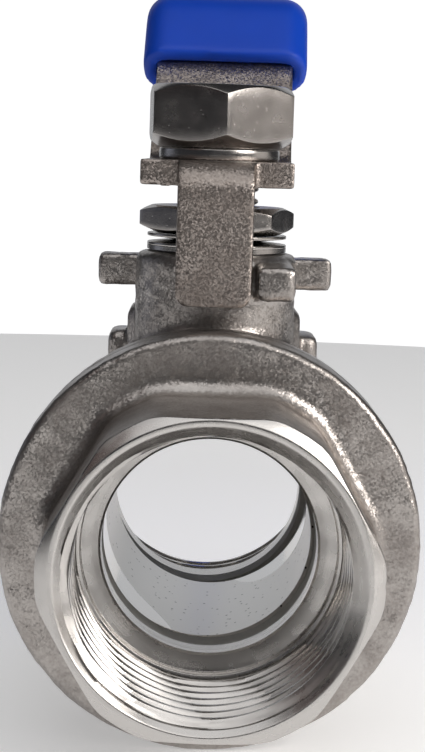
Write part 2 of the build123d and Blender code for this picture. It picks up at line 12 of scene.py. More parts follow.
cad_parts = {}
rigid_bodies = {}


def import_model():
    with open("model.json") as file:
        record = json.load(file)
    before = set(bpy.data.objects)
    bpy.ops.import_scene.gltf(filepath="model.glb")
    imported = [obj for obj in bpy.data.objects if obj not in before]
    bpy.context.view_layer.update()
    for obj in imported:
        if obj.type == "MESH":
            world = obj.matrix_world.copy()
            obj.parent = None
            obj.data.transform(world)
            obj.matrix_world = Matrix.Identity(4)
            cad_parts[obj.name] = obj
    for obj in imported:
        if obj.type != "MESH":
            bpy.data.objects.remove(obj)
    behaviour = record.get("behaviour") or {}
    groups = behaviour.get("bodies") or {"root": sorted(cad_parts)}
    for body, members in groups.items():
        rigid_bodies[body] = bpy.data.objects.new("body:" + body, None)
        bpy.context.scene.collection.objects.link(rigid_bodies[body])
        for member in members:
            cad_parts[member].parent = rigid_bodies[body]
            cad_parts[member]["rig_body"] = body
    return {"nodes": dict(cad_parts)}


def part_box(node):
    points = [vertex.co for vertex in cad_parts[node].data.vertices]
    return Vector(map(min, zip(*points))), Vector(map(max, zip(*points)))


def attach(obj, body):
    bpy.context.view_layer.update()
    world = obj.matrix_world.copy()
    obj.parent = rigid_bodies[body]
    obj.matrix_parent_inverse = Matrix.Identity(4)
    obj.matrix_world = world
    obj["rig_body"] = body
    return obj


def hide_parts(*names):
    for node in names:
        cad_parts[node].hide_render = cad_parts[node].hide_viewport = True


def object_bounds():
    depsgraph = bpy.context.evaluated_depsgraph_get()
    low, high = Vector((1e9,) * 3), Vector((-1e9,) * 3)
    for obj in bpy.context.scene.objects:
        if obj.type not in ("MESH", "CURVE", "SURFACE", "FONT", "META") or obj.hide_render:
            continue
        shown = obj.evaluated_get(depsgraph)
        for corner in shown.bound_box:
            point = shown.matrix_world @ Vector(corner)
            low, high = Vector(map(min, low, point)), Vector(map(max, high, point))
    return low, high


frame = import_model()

CAD_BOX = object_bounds()
MM = 0.001
MERGE = 0.001 * MM
LEVER_TURN = math.radians(1.7)
SOFT_NODES = (
    "seat_cap_side", "seat_body_side", "body_seal", "thrust_washer",
    "packing_ring_bottom", "packing_ring_middle", "packing_ring_top",
)
LOG = logging.getLogger("valve")

Section = Callable[[float], tuple[float, float]]


class Along(Enum):
    """Axis that a turned or lofted piece is built round."""

    STEM = "z"
    FLOW = "y"


class Finished(Enum):
    """Place of a finish among a piece's material slots."""

    CAST = 0
    MACHINED = 1


@dataclass(frozen=True)
class Loop:
    """One closed loop of a lofted piece.

    at gives a radius and a height for an angle about the piece's axis. finish is the slot of the faces that
    lead to the loop, and ease is the width of the rounding along it.
    """

    at: Section
    finish: int = Finished.CAST.value
    ease: float = 0.0


# ---------------------------------------------------------------- shaders
def linear(code: str) -> tuple[float, float, float, float]:
    """Turns an sRGB hex colour into linear numbers.

    Args:
        code: A colour such as "#8a8a8a".

    Returns:
        Red, green and blue as linear light, and an alpha of 1.
    """
    shares = [int(code[place:place + 2], 16) / 255 for place in (1, 3, 5)]
    red, green, blue = (s / 12.92 if s <= 0.04045 else ((s + 0.055) / 1.055) ** 2.4 for s in shares)
    return red, green, blue, 1.0


def add(
    tree: bpy.types.NodeTree,
    kind: str,
    settings: dict[str | int, object] | None = None,
    links: dict[str | int, bpy.types.NodeSocket] | None = None,
) -> bpy.types.Node:
    """Adds one shader node with its settings and links.

    Args:
        tree: The node tree that gets the node.
        kind: The node's type name.
        settings: Values by property name, or by the name or number of an input.
        links: Sockets to connect, by the name or number of an input.

    Returns:
        The new node.
    """
    made = tree.nodes.new(kind)
    for key, value in (settings or {}).items():
        if isinstance(key, str) and hasattr(made, key):
            setattr(made, key, value)
        else:
            made.inputs[key].default_value = value
    for key, socket in (links or {}).items():
        tree.links.new(socket, made.inputs[key])
    return made


def new_material(name: str) -> tuple[bpy.types.Material, bpy.types.NodeTree, bpy.types.Node]:
    """Starts a material.

    Args:
        name: The finish's name.

    Returns:
        The material, its node tree and its Principled node.
    """
    material = bpy.data.materials.new(name)
    material.use_nodes = True
    tree = material.node_tree
    return material, tree, tree.nodes["Principled BSDF"]


def per(size_mm: float) -> float:
    """Texture scale whose cell is size_mm across on Object coordinates."""
    return 1 / (size_mm * MM)


@dataclass(frozen=True)
class BlastedSteel:
    """Stainless steel, investment-cast or sheared, then shot-blasted.

    The shot leaves an even satin grain of small dimples, each of which catches the light at its own angle.
    """

    name: str
    dark: str = "#9c9692"
    light: str = "#b3aeaa"
    roughness: float = 0.36
    grit: float = 0.18
    depth: float = 0.02
    sparkle: float = 0.20
    stain: float = 5.0

    def material(self) -> bpy.types.Material:
        """Makes the material."""
        material, tree, shader = new_material(self.name)
        place = add(tree, "ShaderNodeTexCoord").outputs["Object"]
        clouds = add(
            tree, "ShaderNodeTexNoise", {"Scale": per(self.stain), "Detail": 5.0}, {"Vector": place}
        )
        fleck = add(
            tree, "ShaderNodeTexNoise", {"Scale": per(self.grit * 2), "Detail": 3.0}, {"Vector": place}
        )
        flecks = add(tree, "ShaderNodeMath", {"operation": "MULTIPLY", 1: 0.45}, {0: fleck.outputs["Fac"]})
        shade = add(
            tree, "ShaderNodeMath", {"operation": "MULTIPLY_ADD", 1: 0.55},
            {0: clouds.outputs["Fac"], 2: flecks.outputs[0]},
        )
        tone = add(
            tree, "ShaderNodeMapRange", {"From Min": 0.38, "From Max": 0.62}, {"Value": shade.outputs[0]}
        )
        colour = add(
            tree, "ShaderNodeMix",
            {"data_type": "RGBA", 6: linear(self.dark), 7: linear(self.light)}, {0: tone.outputs[0]},
        )
        polish = add(
            tree, "ShaderNodeMapRange",
            {
                "From Min": 0.35, "From Max": 0.65,
                "To Min": self.roughness + 0.06, "To Max": self.roughness - 0.06,
            },
            {"Value": clouds.outputs["Fac"]},
        )
        dimples = add(
            tree, "ShaderNodeTexVoronoi", {"feature": "SMOOTH_F1", "Scale": per(self.grit * 1.9)},
            {"Vector": place},
        )
        bump = add(
            tree, "ShaderNodeBump", {"Distance": self.depth * MM}, {"Height": dimples.outputs["Distance"]}
        )
        facets = add(tree, "ShaderNodeTexVoronoi", {"Scale": per(self.grit)}, {"Vector": place})
        lean = add(
            tree, "ShaderNodeVectorMath", {"operation": "SUBTRACT", 1: (0.5, 0.5, 0.5)},
            {0: facets.outputs["Color"]},
        )
        tilt = add(
            tree, "ShaderNodeVectorMath", {"operation": "MULTIPLY_ADD", 1: (self.sparkle,) * 3},
            {0: lean.outputs[0], 2: bump.outputs["Normal"]},
        )
        normal = add(tree, "ShaderNodeVectorMath", {"operation": "NORMALIZE"}, {0: tilt.outputs[0]})
        shader.inputs["Metallic"].default_value = 1.0
        tree.links.new(colour.outputs[2], shader.inputs["Base Color"])
        tree.links.new(polish.outputs[0], shader.inputs["Roughness"])
        tree.links.new(normal.outputs[0], shader.inputs["Normal"])
        return material


@dataclass(frozen=True)
class TurnedSteel:
    """Stainless steel cut on a lathe.

    The tool leaves fine rings about the axis, so a light draws out into a fan across them.
    """

    name: str
    along: Along
    colour: str = "#c6c3c0"
    roughness: float = 0.27
    stretch: float = 0.6
    feed: float = 0.14
    depth: float = 0.003

    def material(self) -> bpy.types.Material:
        """Makes the material."""
        material, tree, shader = new_material(self.name)
        place = add(tree, "ShaderNodeTexCoord").outputs["Object"]
        axis = (0.0, 0.0, 1.0) if self.along is Along.STEM else (0.0, 1.0, 0.0)
        across = (1.0, 1.0, 0.0) if self.along is Along.STEM else (1.0, 0.0, 1.0)
        flat = add(tree, "ShaderNodeVectorMath", {"operation": "MULTIPLY", 1: across}, {0: place})
        radius = add(tree, "ShaderNodeVectorMath", {"operation": "LENGTH"}, {0: flat.outputs[0]})
        height = add(tree, "ShaderNodeVectorMath", {"operation": "DOT_PRODUCT", 1: axis}, {0: place})
        rings = add(
            tree, "ShaderNodeCombineXYZ", {}, {"Y": height.outputs["Value"], "Z": radius.outputs["Value"]}
        )
        marks = add(
            tree, "ShaderNodeTexNoise", {"Scale": per(self.feed), "Detail": 2.0},
            {"Vector": rings.outputs[0]},
        )
        bands = add(
            tree, "ShaderNodeTexNoise", {"Scale": per(self.feed * 9), "Detail": 3.0},
            {"Vector": rings.outputs[0]},
        )
        wear = add(tree, "ShaderNodeTexNoise", {"Scale": per(3.5), "Detail": 4.0}, {"Vector": place})
        blend = add(
            tree, "ShaderNodeMath", {"operation": "MULTIPLY"},
            {0: bands.outputs["Fac"], 1: wear.outputs["Fac"]},
        )
        polish = add(
            tree, "ShaderNodeMapRange",
            {
                "From Min": 0.15, "From Max": 0.38,
                "To Min": self.roughness - 0.07, "To Max": self.roughness + 0.09,
            },
            {"Value": blend.outputs[0]},
        )
        bump = add(tree, "ShaderNodeBump", {"Distance": self.depth * MM}, {"Height": marks.outputs["Fac"]})
        round_it = add(tree, "ShaderNodeVectorMath", {"operation": "CROSS_PRODUCT", 0: axis}, {1: place})
        tangent = add(
            tree, "ShaderNodeVectorTransform",
            {"vector_type": "VECTOR", "convert_from": "OBJECT", "convert_to": "WORLD"},
            {0: round_it.outputs[0]},
        )
        shader.inputs["Metallic"].default_value = 1.0
        shader.inputs["Base Color"].default_value = linear(self.colour)
        shader.inputs["Anisotropic"].default_value = self.stretch
        tree.links.new(polish.outputs[0], shader.inputs["Roughness"])
        tree.links.new(bump.outputs["Normal"], shader.inputs["Normal"])
        tree.links.new(tangent.outputs[0], shader.inputs["Tangent"])
        return material


@dataclass(frozen=True)
class ForgedSteel:
    """Cold-forged stainless steel, as on nuts: smooth, with fine drawn lines, scratches and dull patches."""

    name: str
    colour: str = "#a5a19e"
    roughness: float = 0.24
    line: float = 0.10

    def material(self) -> bpy.types.Material:
        """Makes the material."""
        material, tree, shader = new_material(self.name)
        place = add(tree, "ShaderNodeTexCoord").outputs["Object"]
        drawn = add(tree, "ShaderNodeMapping", {"Scale": (1.0, 1.0, 0.06)}, {"Vector": place})
        lines = add(
            tree, "ShaderNodeTexNoise", {"Scale": per(self.line * 2), "Detail": 3.0}, {0: drawn.outputs[0]}
        )
        patches = add(tree, "ShaderNodeTexNoise", {"Scale": per(2.6), "Detail": 6.0}, {"Vector": place})
        polish = add(
            tree, "ShaderNodeMapRange",
            {
                "From Min": 0.35, "From Max": 0.7,
                "To Min": self.roughness - 0.03, "To Max": self.roughness + 0.05,
            },
            {"Value": patches.outputs["Fac"]},
        )
        pits = add(tree, "ShaderNodeTexVoronoi", {"Scale": per(0.9)}, {"Vector": place})
        dig = add(
            tree, "ShaderNodeMapRange", {"From Min": 0.04, "From Max": 0.16},
            {"Value": pits.outputs["Distance"]},
        )
        height = add(
            tree, "ShaderNodeMath", {"operation": "MULTIPLY_ADD", 1: 0.25},
            {0: lines.outputs["Fac"], 2: dig.outputs[0]},
        )
        bump = add(tree, "ShaderNodeBump", {"Distance": 0.012 * MM}, {"Height": height.outputs[0]})
        shader.inputs["Metallic"].default_value = 1.0
        shader.inputs["Base Color"].default_value = linear(self.colour)
        tree.links.new(polish.outputs[0], shader.inputs["Roughness"])
        tree.links.new(bump.outputs["Normal"], shader.inputs["Normal"])
        return material


@dataclass(frozen=True)
class BallSteel:
    """The ball: ground to a mirror outside, with a bored port that keeps small pits and drag marks."""

    name: str
    port: float
    colour: str = "#dddbd8"

    def material(self) -> bpy.types.Material:
        """Makes the material."""
        material, tree, shader = new_material(self.name)
        place = add(tree, "ShaderNodeTexCoord").outputs["Object"]
        flat = add(tree, "ShaderNodeVectorMath", {"operation": "MULTIPLY", 1: (1.0, 0.0, 1.0)}, {0: place})
        radius = add(tree, "ShaderNodeVectorMath", {"operation": "LENGTH"}, {0: flat.outputs[0]})
        bored = add(
            tree, "ShaderNodeMath", {"operation": "LESS_THAN", 1: self.port + 0.12 * MM},
            {0: radius.outputs["Value"]},
        )
        pits = add(tree, "ShaderNodeTexVoronoi", {"Scale": per(1.1)}, {"Vector": place})
        spot = add(
            tree, "ShaderNodeMapRange", {"From Min": 0.1, "From Max": 0.17},
            {"Value": pits.outputs["Distance"]},
        )
        kept = add(tree, "ShaderNodeTexNoise", {"Scale": per(4.0), "Detail": 2.0}, {"Vector": place})
        some = add(tree, "ShaderNodeMath", {"operation": "LESS_THAN", 1: 0.42}, {0: kept.outputs["Fac"]})
        clean = add(
            tree, "ShaderNodeMath", {"operation": "MAXIMUM"}, {0: spot.outputs[0], 1: some.outputs[0]}
        )
        dirt = add(tree, "ShaderNodeMath", {"operation": "SUBTRACT", 0: 1.0}, {1: clean.outputs[0]})
        dark = add(
            tree, "ShaderNodeMath", {"operation": "MULTIPLY"}, {0: dirt.outputs[0], 1: bored.outputs[0]}
        )
        colour = add(
            tree, "ShaderNodeMix", {"data_type": "RGBA", 6: linear(self.colour), 7: linear("#3c3a38")},
            {0: dark.outputs[0]},
        )
        rough = add(
            tree, "ShaderNodeMapRange", {"To Min": 0.07, "To Max": 0.32}, {"Value": bored.outputs[0]}
        )
        drag = add(tree, "ShaderNodeMapping", {"Scale": (1.0, 0.25, 1.0)}, {"Vector": place})
        marks = add(tree, "ShaderNodeTexNoise", {"Scale": per(0.35), "Detail": 4.0}, {0: drag.outputs[0]})
        relief = add(
            tree, "ShaderNodeMath", {"operation": "MULTIPLY"}, {0: marks.outputs["Fac"], 1: bored.outputs[0]}
        )
        bump = add(tree, "ShaderNodeBump", {"Distance": 0.008 * MM}, {"Height": relief.outputs[0]})
        shader.inputs["Metallic"].default_value = 1.0
        tree.links.new(colour.outputs[2], shader.inputs["Base Color"])
        tree.links.new(rough.outputs[0], shader.inputs["Roughness"])
        tree.links.new(bump.outputs["Normal"], shader.inputs["Normal"])
        return material


@dataclass(frozen=True)
class DippedVinyl:
    """Plasticised PVC, dip-moulded: smooth and slightly wavy, with a soft wax-like gloss."""

    name: str
    dark: str = "#043cae"
    light: str = "#0646c4"

    def material(self) -> bpy.types.Material:
        """Makes the material."""
        material, tree, shader = new_material(self.name)
        place = add(tree, "ShaderNodeTexCoord").outputs["Object"]
        clouds = add(tree, "ShaderNodeTexNoise", {"Scale": per(14.0), "Detail": 3.0}, {"Vector": place})
        colour = add(
            tree, "ShaderNodeMix", {"data_type": "RGBA", 6: linear(self.dark), 7: linear(self.light)},
            {0: clouds.outputs["Fac"]},
        )
        skin = add(tree, "ShaderNodeTexNoise", {"Scale": per(0.5), "Detail": 3.0}, {"Vector": place})
        wave = add(tree, "ShaderNodeTexNoise", {"Scale": per(4.0), "Detail": 1.0}, {"Vector": place})
        height = add(
            tree, "ShaderNodeMath", {"operation": "MULTIPLY_ADD", 1: 0.12},
            {0: skin.outputs["Fac"], 2: wave.outputs["Fac"]},
        )
        bump = add(tree, "ShaderNodeBump", {"Distance": 0.05 * MM}, {"Height": height.outputs[0]})
        polish = add(
            tree, "ShaderNodeMapRange", {"To Min": 0.36, "To Max": 0.5}, {"Value": clouds.outputs["Fac"]}
        )
        shader.inputs["IOR"].default_value = 1.5
        shader.inputs["Specular IOR Level"].default_value = 0.38
        shader.inputs["Subsurface Weight"].default_value = 0.12
        shader.inputs["Subsurface Radius"].default_value = (0.2, 0.5, 1.0)
        shader.inputs["Subsurface Scale"].default_value = 0.6 * MM
        tree.links.new(colour.outputs[2], shader.inputs["Base Color"])
        tree.links.new(polish.outputs[0], shader.inputs["Roughness"])
        tree.links.new(bump.outputs["Normal"], shader.inputs["Normal"])
        return material


@dataclass(frozen=True)
class FilledPtfe:
    """Glass-filled PTFE, machined: a waxy grey-white with faint cloudy mottling."""

    name: str
    colour: str = "#b4b3af"

    def material(self) -> bpy.types.Material:
        """Makes the material."""
        material, tree, shader = new_material(self.name)
        place = add(tree, "ShaderNodeTexCoord").outputs["Object"]
        clouds = add(tree, "ShaderNodeTexNoise", {"Scale": per(1.2), "Detail": 4.0}, {"Vector": place})
        colour = add(
            tree, "ShaderNodeMix", {"data_type": "RGBA", 6: linear(self.colour), 7: linear("#c8c7c3")},
            {0: clouds.outputs["Fac"]},
        )
        bump = add(tree, "ShaderNodeBump", {"Distance": 0.01 * MM}, {"Height": clouds.outputs["Fac"]})
        shader.inputs["IOR"].default_value = 1.35
        shader.inputs["Roughness"].default_value = 0.8
        tree.links.new(colour.outputs[2], shader.inputs["Base Color"])
        tree.links.new(bump.outputs["Normal"], shader.inputs["Normal"])
        return material


# ---------------------------------------------------------------- mesh helpers
def circle(radius: float, height: float) -> Section:
    """Section of a plain circle."""
    return lambda angle: (radius, height)


def soft_min(first: float, second: float, blend: float) -> float:
    """Smaller of two lengths, with a smooth change between them over blend."""
    share = max(blend - abs(first - second), 0.0) / blend
    return min(first, second) - share * share * blend / 4


def hexagon(angle: float, flat: float, corner: float, blend: float, turn: float = math.pi / 2) -> float:
    """Radius of a hexagon whose corners are turned down.

    Args:
        angle: Angle about the axis.
        flat: Distance from the axis to each flat.
        corner: Radius of the turned-down corners.
        blend: Length over which flat and corner run together.
        turn: Angle that one flat faces.

    Returns:
        The outline's radius at that angle.
    """
    sixth = math.pi / 3
    off = (angle - turn + sixth / 2) % sixth - sixth / 2
    return soft_min(flat / math.cos(off), corner, blend)


def thread_depth(angle: float, height: float, pitch: float, depth: float, flat: float) -> float:
    """How far a helical thread's surface is from its crest, for a vee with flat crests and roots.

    Args:
        angle: Angle about the axis.
        height: Height along the axis.
        pitch: Height of one turn.
        depth: Full depth.
        flat: Share of the pitch taken by each of the crest and the root.

    Returns:
        Depth at that place.
    """
    phase = (height / pitch - angle / (2 * math.pi)) % 1.0
    wave = abs(2 * phase - 1)
    share = (wave - flat) / (1 - 2 * flat)
    share = min(max(share, 0.0), 1.0)
    return depth * share * share * (3 - 2 * share)


def loft(loops: Sequence[Loop], along: Along, segments: int, capped: bool = False) -> bmesh.types.BMesh:
    """Builds a closed solid through loops about an axis.

    Args:
        loops: Loops in order round the section.
        along: The axis.
        segments: Points on each loop.
        capped: Closes the first and the last loop with flat faces instead of joining them to each other.

    Returns:
        The new mesh, faces outwards.
    """
    mesh = bmesh.new()
    ring = bmesh.ops.create_circle(mesh, segments=segments, radius=1.0)["verts"]
    edges = list(mesh.edges)
    first = edges
    angles = [math.atan2(v.co.y, v.co.x) for v in ring]
    eased: dict[float, list[bmesh.types.BMEdge]] = {}

    def settle(verts: list[bmesh.types.BMVert], turned: list[float], section: Section) -> None:
        """Puts one loop's points in place."""
        for vert, angle in zip(verts, turned):
            radius, height = section(angle)
            x, side = radius * math.cos(angle), radius * math.sin(angle)
            vert.co = (x, side, height) if along is Along.STEM else (x, height, side)

    def angle_of(vert: bmesh.types.BMVert) -> float:
        """Angle of a point about the axis."""
        return math.atan2(vert.co.y if along is Along.STEM else vert.co.z, vert.co.x)

    settle(ring, angles, loops[0].at)
    if loops[0].ease:
        eased.setdefault(loops[0].ease, []).extend(edges)
    for loop in loops[1:]:
        grown = bmesh.ops.extrude_edge_only(mesh, edges=edges)["geom"]
        verts = [g for g in grown if isinstance(g, bmesh.types.BMVert)]
        edges = [g for g in grown if isinstance(g, bmesh.types.BMEdge)]
        for face in (g for g in grown if isinstance(g, bmesh.types.BMFace)):
            face.material_index = loop.finish
        settle(verts, [angle_of(v) for v in verts], loop.at)
        if loop.ease:
            eased.setdefault(loop.ease, []).extend(edges)
    if capped:
        joined = [
            face for end in (first, edges) for face in bmesh.ops.edgeloop_fill(mesh, edges=end)["faces"]
        ]
    else:
        joined = bmesh.ops.bridge_loops(mesh, edges=first + edges)["faces"]
    for face in joined:
        face.material_index = loops[0].finish
    for width, chosen in eased.items():
        bmesh.ops.bevel(
            mesh, geom=chosen, offset=width, offset_type="OFFSET", segments=3, profile=0.5, affect="EDGES",
            material=-1, clamp_overlap=True, loop_slide=True,
        )
    bmesh.ops.recalc_face_normals(mesh, faces=mesh.faces)
    return mesh


def roughen(
    mesh: bmesh.types.BMesh,
    size: float,
    depth: float,
    chosen: Callable[[bmesh.types.BMVert], bool],
    seed: float,
) -> None:
    """Moves chosen points in and out along their normals by smooth noise.

    Args:
        mesh: The mesh to change.
        size: Width of one swell.
        depth: Largest move.
        chosen: Says which points move.
        seed: Offset into the noise.
    """
    mesh.normal_update()
    moves = {}
    for vert in mesh.verts:
        if chosen(vert):
            moves[vert] = vert.normal * (depth * noise.noise(vert.co / size + Vector((seed, seed, seed))))
    for vert, move in moves.items():
        vert.co += move


def weather(mesh: bmesh.types.BMesh) -> None:
    """Gives cast faces the swells and the finer unevenness that a ceramic mould leaves."""
    roughen(mesh, 3.4 * MM, 0.08 * MM, all_cast, 3.0)
    roughen(mesh, 1.1 * MM, 0.05 * MM, all_cast, 11.0)


def all_cast(vert: bmesh.types.BMVert) -> bool:
    """True if every face round a point is left as cast."""
    return all(face.material_index == Finished.CAST.value for face in vert.link_faces)


def stands_for(
    mesh: bmesh.types.BMesh,
    node: str,
    finishes: Sequence[bpy.types.Material],
    sharp: float = 32.0,
) -> bpy.types.Object:
    """Makes an object from a mesh that stands for a CAD node and rides on its body.

    Args:
        mesh: The finished mesh, which is freed.
        node: The CAD node.
        finishes: Materials in slot order.
        sharp: Edges over this angle, in degrees, are drawn sharp.

    Returns:
        The new object.
    """
    data = bpy.data.meshes.new(f"{node}_shape")
    mesh.to_mesh(data)
    mesh.free()
    return dress(bpy.data.objects.new(f"{node}_piece", data), node, finishes, sharp)


def dress(
    piece: bpy.types.Object, node: str, finishes: Sequence[bpy.types.Material], sharp: float
) -> bpy.types.Object:
    """Links a new piece, gives it its finishes and ties it to the frame."""
    if piece.name not in bpy.context.scene.collection.objects:
        bpy.context.scene.collection.objects.link(piece)
    slots = piece.data.materials
    for index, finish in enumerate(finishes):
        if index < len(slots):
            slots[index] = finish
        else:
            slots.append(finish)
    piece.data.shade_smooth()
    piece.data.set_sharp_from_angle(angle=math.radians(sharp))
    body = frame["nodes"][node]["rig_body"]
    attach(piece, body)
    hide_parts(node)
    LOG.info("%s: %d faces, rides on %s", piece.name, len(piece.data.polygons), body)
    return piece


def finish_node(node: str, finish: bpy.types.Material) -> None:
    """Gives a CAD node that is shown as it is its finish."""
    shown = frame["nodes"][node]
    shown.data.materials.clear()
    shown.data.materials.append(finish)
    LOG.info("%s: CAD shape kept", node)


def at_rest(mesh: bmesh.types.BMesh) -> None:
    """Turns a mesh that was made square with the valve to where the lever stands."""
    bmesh.ops.rotate(mesh, verts=mesh.verts, cent=(0, 0, 0), matrix=Matrix.Rotation(-LEVER_TURN, 3, "Z"))


def merged_copy(node: str) -> bmesh.types.BMesh:
    """A CAD node's mesh with its loose triangles joined."""
    mesh = bmesh.new()
    mesh.from_mesh(frame["nodes"][node].data)
    bmesh.ops.remove_doubles(mesh, verts=mesh.verts, dist=MERGE)
    return mesh


def applied(piece: bpy.types.Object) -> None:
    """Makes a piece's modifiers part of its mesh."""
    graph = bpy.context.evaluated_depsgraph_get()
    data = bpy.data.meshes.new_from_object(piece.evaluated_get(graph))
    piece.modifiers.clear()
    piece.data = data


def cut_away(piece: bpy.types.Object, cutter: bmesh.types.BMesh) -> None:
    """Cuts a closed mesh out of a piece, and leaves the cut faces with the cutter's finish.

    Args:
        piece: The piece to cut.
        cutter: The closed mesh to remove, which is freed.
    """
    data = bpy.data.meshes.new("cutter")
    cutter.to_mesh(data)
    cutter.free()
    tool = bpy.data.objects.new("cutter", data)
    bpy.context.scene.collection.objects.link(tool)
    cut = piece.modifiers.new("cut", "BOOLEAN")
    cut.operation = "DIFFERENCE"
    cut.solver = "MANIFOLD"
    cut.object = tool
    bpy.context.view_layer.update()
    applied(piece)
    bpy.data.objects.remove(tool)


def skin(mesh: bmesh.types.BMesh, name: str, voxel: float, passes: int) -> bpy.types.Object:
    """Turns overlapping closed solids into one skin with softened edges.

    Args:
        mesh: The solids, which are freed.
        name: Name of the new object.
        voxel: Cell size of the skin.
        passes: How often it is smoothed.

    Returns:
        The new object, linked to the scene.
    """
    data = bpy.data.meshes.new(name)
    mesh.to_mesh(data)
    mesh.free()
    piece = bpy.data.objects.new(name, data)
    bpy.context.scene.collection.objects.link(piece)
    remesh = piece.modifiers.new("skin", "REMESH")
    remesh.mode = "VOXEL"
    remesh.voxel_size = voxel
    smooth = piece.modifiers.new("soften", "SMOOTH")
    smooth.factor = 0.5
    smooth.iterations = passes
    bpy.context.view_layer.update()
    applied(piece)
    return piece


# ---------------------------------------------------------------- pipe ends
@dataclass
class PipeEnd:
    """Cast hexagon of a pipe end, its turned end and its female G 1 thread.

    Heights run outwards from the ball's centre, and side says which way that is along the flow.
    """

    side: int
    end: float
    shoulder: float = 21.5 * MM
    flat: float = 17.5 * MM
    corner: float = 18.6 * MM
    corner_blend: float = 0.5 * MM
    face: float = 17.3 * MM
    chamfer: float = math.tan(math.radians(30.0))
    crest: float = 15.15 * MM
    mouth: float = 16.75 * MM
    pitch: float = 2.309 * MM
    depth: float = 0.95 * MM
    crest_share: float = 0.2
    runout: float = 14.75 * MM
    runout_length: float = 1.3 * MM
    port: float = 12.5 * MM
    port_edge: float = 0.25 * MM
    turn_loops: int = 12
    tool_edge: float = 0.12 * MM

    def radius(self, angle: float) -> float:
        """Outline of the cast hexagon."""
        return hexagon(angle, self.flat, self.corner, self.corner_blend)

    def at(self, radius: float, height: float) -> Section:
        """Plain circle at a height along this end."""
        return circle(radius, self.side * height)

    def root(self, foot: float, fillet: float, steps: int) -> list[Loop]:
        """Fillet from a flat face up to the hexagon's flats."""
        loops = []
        for step in range(steps + 1):
            bend = math.pi / 2 * step / steps
            loops.append(Loop(lambda angle, bend=bend: (
                self.radius(angle) + fillet * (1 - math.sin(bend)),
                self.side * (foot + fillet * (1 - math.cos(bend))),
            )))
        return loops

    def crease(self, angle: float) -> float:
        """Height where the turned end chamfer meets the cast hexagon."""
        return self.end - (self.radius(angle) - self.face) * self.chamfer

    def flats(self, start: float, steps: int) -> list[Loop]:
        """Hexagon's sides from a height up to the chamfer."""
        loops = []
        for step in range(1, steps + 1):
            share = step / steps
            loops.append(Loop(
                lambda angle, share=share: (
                    self.radius(angle), self.side * (start + share * (self.crease(angle) - start))
                ),
                ease=self.tool_edge if step == steps else 0.0,
            ))
        return loops

    def turned_end(self) -> list[Loop]:
        """Chamfer, end face and countersink."""
        cut = Finished.MACHINED.value
        start = self.end - (self.mouth - self.crest)
        return [
            Loop(self.at(self.face, self.end), cut, self.tool_edge),
            Loop(self.at(self.mouth, self.end), cut, self.tool_edge),
            Loop(self.at(self.crest + 0.02 * MM, start + 0.02 * MM), cut),
        ]

    def thread(self) -> list[Loop]:
        """Helical thread from the countersink down to the plain run-out."""
        cut = Finished.MACHINED.value
        high = self.end - (self.mouth - self.crest)
        low = self.shoulder + self.runout_length
        count = round((high - low) / self.pitch * self.turn_loops)
        top = self.end - 0.3 * MM
        loops = []

        def surface(height: float) -> Section:
            """Section of the thread at a height, with the countersink cut through it."""
            def at(angle: float) -> tuple[float, float]:
                """Radius and height at an angle."""
                cone = self.crest + max(height - high, 0.0)
                vee = self.crest + thread_depth(angle, height, self.pitch, self.depth, self.crest_share)
                fade = min((height - low) / (0.5 * self.pitch), 1.0)
                return max(cone, self.crest + (vee - self.crest) * fade), self.side * height
            return at

        extra = round((top - high) / self.pitch * self.turn_loops)
        for step in range(-extra, count + 1):
            loops.append(Loop(surface(high - (high - low) * step / count), cut))
        return loops

    def seat_side(self, seat_back: float) -> list[Loop]:
        """Run-out, shoulder, port edge and port as far as the seat."""
        cut = Finished.MACHINED.value
        low = self.shoulder + self.runout_length
        return [
            Loop(self.at(self.runout, low - 0.1 * MM), cut, self.tool_edge),
            Loop(self.at(self.runout, self.shoulder), cut, self.tool_edge),
            Loop(self.at(self.port + self.port_edge, self.shoulder), cut),
            Loop(self.at(self.port, self.shoulder - self.port_edge), cut),
            Loop(self.at(self.port, seat_back), cut),
        ]


